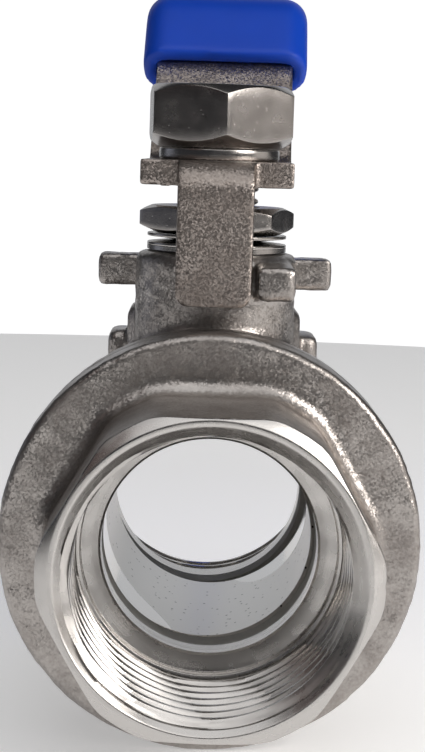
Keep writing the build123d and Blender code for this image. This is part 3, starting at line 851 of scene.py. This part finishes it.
@dataclass
class EndCap:
    """Screwed end cap: flange, cast hexagon with its turned end, and the threaded spigot behind."""

    rim: float
    end: float
    joint: float = 16.0 * MM
    groove: float = 0.5 * MM
    face: float = 21.0 * MM
    rim_ease: float = 0.9 * MM
    root: float = 2.0 * MM
    seat_back: float = 18.0 * MM
    seat_nose: float = 11.02 * MM
    seat_wall: float = 16.85 * MM
    spigot: float = 20.1 * MM
    spigot_bore: float = 18.2 * MM
    spigot_end: float = 9.02 * MM
    segments: int = 336
    dent: tuple[float, float, float] = (18.45 * MM, -38.35 * MM, 0.1 * MM)
    dent_radius: float = 0.9 * MM
    dent_depth: float = 0.35 * MM

    def loops(self) -> list[Loop]:
        """Every loop of the cap's section, from the spigot's end outwards and back through the bore."""
        end = PipeEnd(side=-1, end=self.end)
        cut = Finished.MACHINED.value
        loops = [
            Loop(end.at(self.spigot, self.spigot_end), cut),
            Loop(end.at(self.spigot, self.joint), cut),
            Loop(end.at(self.rim - self.groove, self.joint), cut),
            Loop(end.at(self.rim, self.joint + self.groove), cut),
        ]
        for step in range(1, 7):
            start = self.joint + self.groove
            height = start + (self.face - self.rim_ease - start) * step / 6
            loops.append(Loop(end.at(self.rim, height)))
        for step in range(1, 7):
            bend = math.pi / 2 * step / 6
            loops.append(Loop(end.at(
                self.rim - self.rim_ease * (1 - math.cos(bend)),
                self.face - self.rim_ease * (1 - math.sin(bend)),
            )))
        for step in range(1, 9):
            share = step / 9
            loops.append(Loop(lambda angle, share=share: (
                (self.rim - self.rim_ease) * (1 - share) + (end.radius(angle) + self.root) * share,
                -self.face,
            )))
        loops += end.root(self.face, self.root, 9)
        loops += end.flats(self.face + self.root, 14)
        loops += end.turned_end()[:2]
        loops += end.thread()
        loops += end.seat_side(self.seat_back)
        loops += [
            Loop(end.at(self.seat_wall, self.seat_back), cut),
            Loop(end.at(self.seat_wall, self.seat_nose), cut),
            Loop(end.at(self.spigot_bore, self.seat_nose), cut),
            Loop(end.at(self.spigot_bore, self.spigot_end), cut),
        ]
        return loops

    def build(self, finishes: Sequence[bpy.types.Material]) -> bpy.types.Object:
        """Builds and dresses the cap.

        Args:
            finishes: The cast finish and the turned one.

        Returns:
            The cap.
        """
        mesh = loft(self.loops(), Along.FLOW, self.segments)
        weather(mesh)
        roughen(
            mesh, 0.9 * MM, 0.05 * MM,
            lambda v: all_cast(v) and math.hypot(v.co.x, v.co.z) > self.rim - 1.4 * MM and v.co.y < -20 * MM,
            7.0,
        )
        for vert in mesh.verts:
            gap = (vert.co - Vector(self.dent)).length / self.dent_radius
            if gap < 1.0:
                vert.co.x -= self.dent_depth * (1.0 - gap) ** 2
        return stands_for(mesh, "end_cap", finishes)


# ---------------------------------------------------------------- body
@dataclass
class Body:
    """Cast body with its neck, stops, web and pad, cut by the turned void and the rear pipe end."""

    voxel: float = 0.45 * MM
    passes: int = 3
    over: float = 0.8 * MM
    joint: float = 16.0 * MM
    joint_bore: float = 20.9 * MM
    spigot_end: float = 9.02 * MM
    seal: float = 1.0 * MM
    cavity: float = 19.8 * MM
    seat_wall: float = 16.85 * MM
    seat_nose: float = 11.02 * MM
    seat_back: float = 18.0 * MM
    packing: float = 7.5 * MM
    packing_low: float = 26.4 * MM
    stem_hole: float = 5.05 * MM
    pocket: float = 7.3 * MM
    pocket_roof: float = 23.6 * MM
    segments: int = 240

    def rough_casting(self, end: float) -> bmesh.types.BMesh:
        """CAD body with its voids plugged and its end left long, as it is before it is turned.

        Args:
            end: Height of the finished rear end.

        Returns:
            Overlapping closed solids.
        """
        mesh = merged_copy("body")
        pipe = PipeEnd(side=1, end=end)
        neck_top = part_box("body")[1].z
        plugs = (
            loft([
                Loop(circle(self.joint_bore + self.over, -self.joint + 0.3 * MM)),
                Loop(circle(self.joint_bore + self.over, -self.spigot_end + self.seal)),
                Loop(circle(self.cavity + self.over, -self.spigot_end + self.seal)),
                Loop(circle(self.cavity + self.over, self.seat_nose)),
                Loop(circle(pipe.mouth + self.over / 2, pipe.shoulder)),
                Loop(circle(pipe.mouth + self.over / 2, end)),
            ], Along.FLOW, 96, capped=True),
            loft([
                Loop(lambda angle: (pipe.radius(angle) - 0.02 * MM, end - 4 * MM)),
                Loop(lambda angle: (pipe.radius(angle) - 0.02 * MM, end + self.over)),
            ], Along.FLOW, 96, capped=True),
            loft([
                Loop(circle(self.packing + self.over, self.cavity)),
                Loop(circle(self.packing + self.over, neck_top - 0.05 * MM)),
            ], Along.STEM, 96, capped=True),
        )
        for plug in plugs:
            data = bpy.data.meshes.new("plug")
            plug.to_mesh(data)
            plug.free()
            mesh.from_mesh(data)
            bpy.data.meshes.remove(data)
        return mesh

    def void(self, end: float) -> bmesh.types.BMesh:
        """Everything that is cut out along the flow, from the joint face to the rear end."""
        cut = Finished.MACHINED.value
        pipe = PipeEnd(side=1, end=end)
        outwards = [
            Loop(circle(self.joint_bore, -self.joint - self.over), cut),
            Loop(circle(self.joint_bore, -self.spigot_end + self.seal), cut),
            Loop(circle(self.cavity, -self.spigot_end + self.seal), cut),
            Loop(circle(self.cavity, self.seat_nose), cut),
            Loop(circle(self.seat_wall, self.seat_nose), cut),
            Loop(circle(self.seat_wall, self.seat_back), cut),
        ]
        outwards += reversed(pipe.seat_side(self.seat_back))
        outwards += reversed(pipe.thread())
        outwards.append(Loop(circle(pipe.mouth + self.over, end + self.over), cut))
        outwards.append(Loop(circle(pipe.mouth + self.over, end + 3 * self.over), cut))
        return loft(outwards, Along.FLOW, self.segments, capped=True)

    def end_turning(self, end: float) -> bmesh.types.BMesh:
        """Metal turned off the rear end: the end face and the chamfer round it."""
        cut = Finished.MACHINED.value
        pipe = PipeEnd(side=1, end=end)
        out = 3.0 * MM
        return loft([
            Loop(circle(pipe.face, end), cut),
            Loop(circle(pipe.face + out, end - out * pipe.chamfer), cut),
            Loop(circle(pipe.face + out, end + 2 * self.over), cut),
            Loop(circle(pipe.mouth - self.over, end + 2 * self.over), cut),
            Loop(circle(pipe.mouth - self.over, end), cut),
        ], Along.FLOW, self.segments)

    def packing_box(self, top: float) -> bmesh.types.BMesh:
        """Stem hole, thrust pocket and packing box, cut down the neck."""
        cut = Finished.MACHINED.value
        return loft([
            Loop(circle(self.pocket, self.cavity - 2 * MM), cut),
            Loop(circle(self.pocket, self.pocket_roof), cut),
            Loop(circle(self.stem_hole, self.pocket_roof), cut),
            Loop(circle(self.stem_hole, self.packing_low), cut),
            Loop(circle(self.packing, self.packing_low), cut),
            Loop(circle(self.packing, top + self.over), cut),
        ], Along.STEM, 96, capped=True)

    def build(self, finishes: Sequence[bpy.types.Material]) -> bpy.types.Object:
        """Builds and dresses the body.

        Args:
            finishes: The cast finish and the turned one.

        Returns:
            The body.
        """
        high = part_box("body")[1]
        piece = skin(self.rough_casting(high.y), "body_piece", self.voxel, self.passes)
        mesh = bmesh.new()
        mesh.from_mesh(piece.data)
        weather(mesh)
        roughen(mesh, 0.8 * MM, 0.07 * MM, lambda v: v.co.z > 24.6 * MM, 19.0)
        mesh.to_mesh(piece.data)
        mesh.free()
        for finish in finishes:
            piece.data.materials.append(finish)
        for cutter in (self.void(high.y), self.end_turning(high.y), self.packing_box(high.z)):
            cut_away(piece, cutter)
        return dress(piece, "body", [], 40.0)


# ---------------------------------------------------------------- stem, nuts and washers
@dataclass
class StemThread:
    """M10 thread of the stem, drawn as a true helix."""

    radius: float = 5.0 * MM
    pitch: float = 1.5 * MM
    depth: float = 0.85 * MM
    crest_share: float = 0.1

    def surface(self, angle: float, height: float) -> float:
        """Radius of the stem's thread."""
        vee = thread_depth(angle, height, self.pitch, self.depth, self.crest_share)
        return self.radius - self.depth + vee


@dataclass
class Nut:
    """Hexagon nut with chamfered corners and its own female thread."""

    node: str
    turn: float
    across: float = 17.0 * MM
    corner: float = 9.74 * MM
    blend: float = 0.12 * MM
    top_inset: float = 0.4 * MM
    base_inset: float = 1.0 * MM
    chamfer: float = 35.0
    mouth: float = 5.35 * MM
    fit: float = 0.06 * MM
    edge: float = 0.14 * MM
    segments: int = 180

    def build(self, finish: bpy.types.Material) -> bpy.types.Object:
        """Builds and dresses the nut."""
        low, high = (corner.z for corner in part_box(self.node))
        flat = self.across / 2
        top, base = flat - self.top_inset, flat - self.base_inset
        slope = math.tan(math.radians(self.chamfer))
        thread = StemThread()

        def outline(angle: float) -> float:
            """Radius of the nut's side at an angle."""
            return hexagon(angle, flat, self.corner, self.blend)

        def crease(lower: bool, angle: float) -> tuple[float, float]:
            """Radius and height where a chamfer meets the nut's side."""
            radius = outline(angle)
            if lower:
                return radius, low + (radius - base) * slope
            return radius, high - (radius - top) * slope

        loops = [
            Loop(circle(self.mouth, low)),
            Loop(circle(base, low), ease=self.edge),
            Loop(lambda angle: crease(True, angle), ease=self.edge / 2),
        ]
        for step in range(1, 4):
            share = step / 4
            loops.append(Loop(lambda angle, share=share: (
                outline(angle), crease(True, angle)[1] * (1 - share) + crease(False, angle)[1] * share
            )))
        loops += [
            Loop(lambda angle: crease(False, angle), ease=self.edge / 2),
            Loop(circle(top, high), ease=self.edge),
            Loop(circle(self.mouth, high)),
        ]
        turns = round((high - low) / thread.pitch * 8)
        mouth_drop = self.mouth - thread.radius + thread.depth
        for step in range(turns + 1):
            height = high - mouth_drop - (high - low - 2 * mouth_drop) * step / turns
            loops.append(Loop(
                lambda angle, height=height: (thread.surface(angle - self.turn, height) + self.fit, height)
            ))
        mesh = loft(loops, Along.STEM, self.segments)
        bmesh.ops.rotate(mesh, verts=mesh.verts, cent=(0, 0, 0), matrix=Matrix.Rotation(self.turn, 3, "Z"))
        return stands_for(mesh, self.node, [finish], 28.0)


@dataclass
class Stem:
    """Stem: tang, collar, shank, helical thread and two flats for the handle."""

    tang: float = 3.0 * MM
    collar: float = 7.0 * MM
    collar_low: float = 19.6 * MM
    collar_high: float = 22.4 * MM
    thread_low: float = 34.9 * MM
    flats_low: float = 40.9 * MM
    flat: float = 3.75 * MM
    segments: int = 120

    def build(self, finish: bpy.types.Material) -> bpy.types.Object:
        """Builds and dresses the stem."""
        low, high = (corner.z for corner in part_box("stem"))
        thread = StemThread()

        def tang(radius: float, height: float) -> Section:
            """Section of the tongue that fits the ball's slot."""
            return lambda angle: (min(radius, self.tang / max(abs(math.sin(angle)), 1e-6)), height)

        def threaded(height: float) -> Section:
            """Section of the thread at a height, with its two flats."""
            def at(angle: float) -> tuple[float, float]:
                """Radius and height at an angle."""
                radius = thread.surface(angle, height)
                if height > self.flats_low:
                    radius = min(radius, self.flat / max(abs(math.cos(angle)), 1e-6))
                return radius, height
            return at

        loops = [Loop(tang(self.collar, low)), Loop(tang(self.collar, self.collar_low))]
        loops += [
            Loop(circle(self.collar, self.collar_low)),
            Loop(circle(self.collar, self.collar_high)),
            Loop(circle(thread.radius, self.collar_high)),
            Loop(circle(thread.radius, self.thread_low)),
        ]
        top = high - thread.depth
        count = round((top - self.thread_low) / thread.pitch * 8)
        loops += [
            Loop(threaded(self.thread_low + (top - self.thread_low) * step / count))
            for step in range(1, count + 1)
        ]
        tip = min(thread.radius - thread.depth, self.flat)
        loops.append(Loop(circle(tip, high)))
        mesh = loft(loops, Along.STEM, self.segments, capped=True)
        at_rest(mesh)
        return stands_for(mesh, "stem", [finish], 25.0)


@dataclass
class FlatWasher:
    """Plain washer between the handle and its nut."""

    node: str = "handle_washer"
    hole: float = 5.25 * MM
    edge: float = 0.3 * MM
    segments: int = 160

    def build(self, finish: bpy.types.Material) -> bpy.types.Object:
        """Builds and dresses the washer."""
        low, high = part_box(self.node)
        loops = [
            Loop(circle(self.hole, low.z)),
            Loop(circle(high.x, low.z), ease=self.edge),
            Loop(circle(high.x, high.z), ease=self.edge),
            Loop(circle(self.hole, high.z)),
        ]
        mesh = loft(loops, Along.STEM, self.segments)
        return stands_for(mesh, self.node, [finish], 30.0)


@dataclass
class SpringWasher:
    """Conical spring washer. The lower one rests on its rim, and the upper one on its hole."""

    node: str
    rim_up: bool
    thick: float = 0.4 * MM
    hole: float = 5.25 * MM
    edge: float = 0.1 * MM
    segments: int = 160

    def build(self, finish: bpy.types.Material) -> bpy.types.Object:
        """Builds and dresses the washer."""
        low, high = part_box(self.node)
        rise = high.z - low.z - self.thick
        rim = low.z + (rise if self.rim_up else 0.0)
        inner = low.z + (0.0 if self.rim_up else rise)
        loops = [
            Loop(circle(self.hole, inner)),
            Loop(circle(high.x, rim), ease=self.edge),
            Loop(circle(high.x, rim + self.thick), ease=self.edge),
            Loop(circle(self.hole, inner + self.thick)),
        ]
        return stands_for(loft(loops, Along.STEM, self.segments), self.node, [finish], 30.0)


# ---------------------------------------------------------------- ball
@dataclass
class Ball:
    """Ball with its port and the slot for the stem."""

    radius: float = 19.0 * MM
    port: float = 12.5 * MM
    edge: float = 0.35 * MM
    slot: float = 6.3 * MM
    slot_floor: float = 14.2 * MM
    segments: int = 192

    def build(self, finish: bpy.types.Material) -> bpy.types.Object:
        """Builds and dresses the ball."""
        mouth = self.port + self.edge
        reach = math.sqrt(self.radius ** 2 - mouth ** 2)
        steps = 48
        span = math.asin(reach / self.radius)
        loops = [Loop(circle(self.port, -reach + self.edge)), Loop(circle(self.port, reach - self.edge))]
        for step in range(steps + 1):
            bend = span - 2 * span * step / steps
            loops.append(Loop(circle(self.radius * math.cos(bend), self.radius * math.sin(bend))))
        mesh = loft(loops, Along.FLOW, self.segments)
        at_rest(mesh)
        data = bpy.data.meshes.new("ball_shape")
        mesh.to_mesh(data)
        mesh.free()
        piece = bpy.data.objects.new("ball_piece", data)
        bpy.context.scene.collection.objects.link(piece)
        slot = bmesh.new()
        bmesh.ops.create_cube(slot, size=1.0)
        tall = self.radius - self.slot_floor + MM
        bmesh.ops.scale(slot, verts=slot.verts, vec=(3 * self.radius, self.slot, tall))
        bmesh.ops.translate(slot, verts=slot.verts, vec=(0, 0, self.slot_floor + tall / 2))
        at_rest(slot)
        cut_away(piece, slot)
        return dress(piece, "ball", [finish], 30.0)


# ---------------------------------------------------------------- handle
@dataclass
class Handle:
    """Bent lever of blasted steel and its dipped sleeve."""

    metal_voxel: float = 0.3 * MM
    sleeve_voxel: float = 0.5 * MM

    def build(self, metal: bpy.types.Material, vinyl: bpy.types.Material) -> list[bpy.types.Object]:
        """Builds and dresses the lever and the sleeve."""
        lever = skin(merged_copy("handle"), "handle_piece", self.metal_voxel, 2)
        dress(lever, "handle", [metal], 40.0)
        sleeve = skin(merged_copy("handle_sleeve"), "handle_sleeve_piece", self.sleeve_voxel, 14)
        dress(sleeve, "handle_sleeve", [vinyl], 60.0)
        return [lever, sleeve]


# ---------------------------------------------------------------- studio
@dataclass(frozen=True)
class Softbox:
    """One soft area light, aimed at the valve."""

    name: str
    bearing: float
    elevation: float
    distance: float
    size: float
    watts: float
    colour: str = "#ffffff"

    def build(self) -> None:
        """Adds the light. Bearing 0 is the side of the end cap, and 90 is the right."""
        turn, lift = math.radians(self.bearing), math.radians(self.elevation)
        way = Vector((math.sin(turn) * math.cos(lift), -math.cos(turn) * math.cos(lift), math.sin(lift)))
        data = bpy.data.lights.new(self.name, "AREA")
        data.shape = "SQUARE"
        data.size = self.size
        data.energy = self.watts
        data.color = linear(self.colour)[:3]
        lamp = bpy.data.objects.new(self.name, data)
        lamp.location = way * self.distance
        lamp.rotation_euler = way.to_track_quat("Z", "Y").to_euler()
        lamp.visible_camera = False
        bpy.context.scene.collection.objects.link(lamp)


@dataclass
class Studio:
    """Pale floor, white surround, soft lights and the camera."""

    eye: tuple[float, float, float] = (-2.95, -229.9, 45.5)
    yaw: float = 0.74
    pitch: float = 7.04
    roll: float = 1.83
    lens: float = 88.7
    floor_radius: float = 0.45
    surround: float = 2.6

    def camera(self) -> None:
        """Adds the camera, level with the handle and close to the valve."""
        yaw, pitch, roll = (math.radians(value) for value in (self.yaw, self.pitch, self.roll))
        right = Vector((math.cos(yaw), -math.sin(yaw), 0.0))
        ahead = Vector((math.sin(yaw) * math.cos(pitch), math.cos(yaw) * math.cos(pitch), -math.sin(pitch)))
        up = right.cross(ahead)
        side = right * math.cos(roll) + up * math.sin(roll)
        top = up * math.cos(roll) - right * math.sin(roll)
        data = bpy.data.cameras.new("camera")
        data.lens = self.lens
        data.clip_start, data.clip_end = 0.01, 20.0
        camera = bpy.data.objects.new("camera", data)
        turned = Matrix((side, top, -ahead)).transposed()
        camera.matrix_world = Matrix.Translation(Vector(self.eye) * MM) @ turned.to_4x4()
        bpy.context.scene.collection.objects.link(camera)
        bpy.context.scene.camera = camera

    def glowing(self, name: str, colour: str, glow: float) -> bpy.types.Material:
        """Matt white that gives off a little light, as on a light table."""
        material, tree, shader = new_material(name)
        shader.inputs["Base Color"].default_value = linear(colour)
        shader.inputs["Roughness"].default_value = 0.9
        shader.inputs["Emission Color"].default_value = linear(colour)
        shader.inputs["Emission Strength"].default_value = glow
        return material

    def floor(self) -> None:
        """Adds the floor and the surround, which only the camera sees."""
        low = CAD_BOX[0].z
        mesh = bmesh.new()
        bmesh.ops.create_circle(mesh, cap_ends=True, segments=96, radius=self.floor_radius)
        bmesh.ops.translate(mesh, verts=mesh.verts, vec=(0, 0, low - 0.05 * MM))
        self.staged(mesh, "floor", self.glowing("light_table", "#f6f6f6", 0.36))
        dome = bmesh.new()
        bmesh.ops.create_icosphere(dome, subdivisions=4, radius=self.surround)
        bmesh.ops.reverse_faces(dome, faces=dome.faces)
        shell = self.staged(dome, "surround", self.glowing("white_surround", "#ffffff", 1.0))
        shell.visible_diffuse = shell.visible_glossy = shell.visible_shadow = False
        shell.visible_transmission = False

    def staged(self, mesh: bmesh.types.BMesh, name: str, material: bpy.types.Material) -> bpy.types.Object:
        """Adds an object that isn't part of the valve."""
        data = bpy.data.meshes.new(name)
        mesh.to_mesh(data)
        mesh.free()
        data.materials.append(material)
        thing = bpy.data.objects.new(name, data)
        bpy.context.scene.collection.objects.link(thing)
        return thing

    def lights(self) -> None:
        """Adds the lights: a strong one high on the right, broad fills, and a dark room on the left."""
        boxes = (
            Softbox("key", 52.0, 28.0, 0.55, 0.28, 1.8, "#fffaf5"),
            Softbox("right_fill", 86.0, 0.0, 0.60, 0.42, 0.30, "#fff7f0"),
            Softbox("front_fill", 10.0, 36.0, 1.00, 0.70, 0.30, "#fbf8f6"),
            Softbox("overhead", 0.0, 64.0, 0.62, 0.70, 1.50),
            Softbox("back", 180.0, 12.0, 1.10, 1.10, 2.0, "#fafcff"),
            Softbox("left_warm", -50.0, 34.0, 0.60, 0.30, 0.03, "#c98f78"),
            Softbox("left_rim", -112.0, 8.0, 0.60, 0.25, 0.05, "#e6ecff"),
        )
        for box in boxes:
            box.build()
        world = bpy.data.worlds.new("room")
        world.use_nodes = True
        ground = world.node_tree.nodes["Background"]
        ground.inputs["Color"].default_value = linear("#dcdde6")
        ground.inputs["Strength"].default_value = 0.05
        bpy.context.scene.world = world

    def build(self) -> None:
        """Sets the whole studio up."""
        self.camera()
        self.floor()
        self.lights()
        bpy.context.scene.view_settings.view_transform = "Standard"


def main() -> None:
    """Builds the valve's pieces in order, then the studio."""
    logging.basicConfig(level=logging.INFO, format="%(name)s: %(message)s")
    cast = BlastedSteel("shot_blasted_cast_stainless").material()
    bored = TurnedSteel("turned_cast_stainless", Along.FLOW).material()
    turned = TurnedSteel("turned_bar_stainless", Along.STEM, roughness=0.24).material()
    forged = ForgedSteel("cold_forged_stainless").material()
    sheet = BlastedSteel(
        "blasted_sheet_stainless", dark="#8d847e", light="#aaa19b", grit=0.17, depth=0.03, sparkle=0.32
    ).material()
    spring = TurnedSteel("spring_stainless", Along.STEM, colour="#bcb8b4", roughness=0.2).material()
    ptfe = FilledPtfe("glass_filled_ptfe").material()
    ball = BallSteel("ground_ball_stainless", Ball.port).material()
    vinyl = DippedVinyl("dipped_vinyl_blue").material()

    low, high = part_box("end_cap")
    EndCap(rim=high.x, end=-low.y).build([cast, bored])
    Body().build([cast, bored])
    Ball().build(ball)
    Stem().build(turned)
    Nut("pack_nut", math.radians(11.0), chamfer=24.0).build(forged)
    Nut("handle_nut", math.radians(34.0)).build(forged)
    FlatWasher().build(turned)
    SpringWasher("spring_washer_lower", rim_up=False).build(spring)
    SpringWasher("spring_washer_upper", rim_up=True).build(spring)
    finish_node("gland", turned)
    for node in SOFT_NODES:
        finish_node(node, ptfe)
    Handle().build(sheet, vinyl)
    Studio().build()


if __name__ == "__main__":
    main()
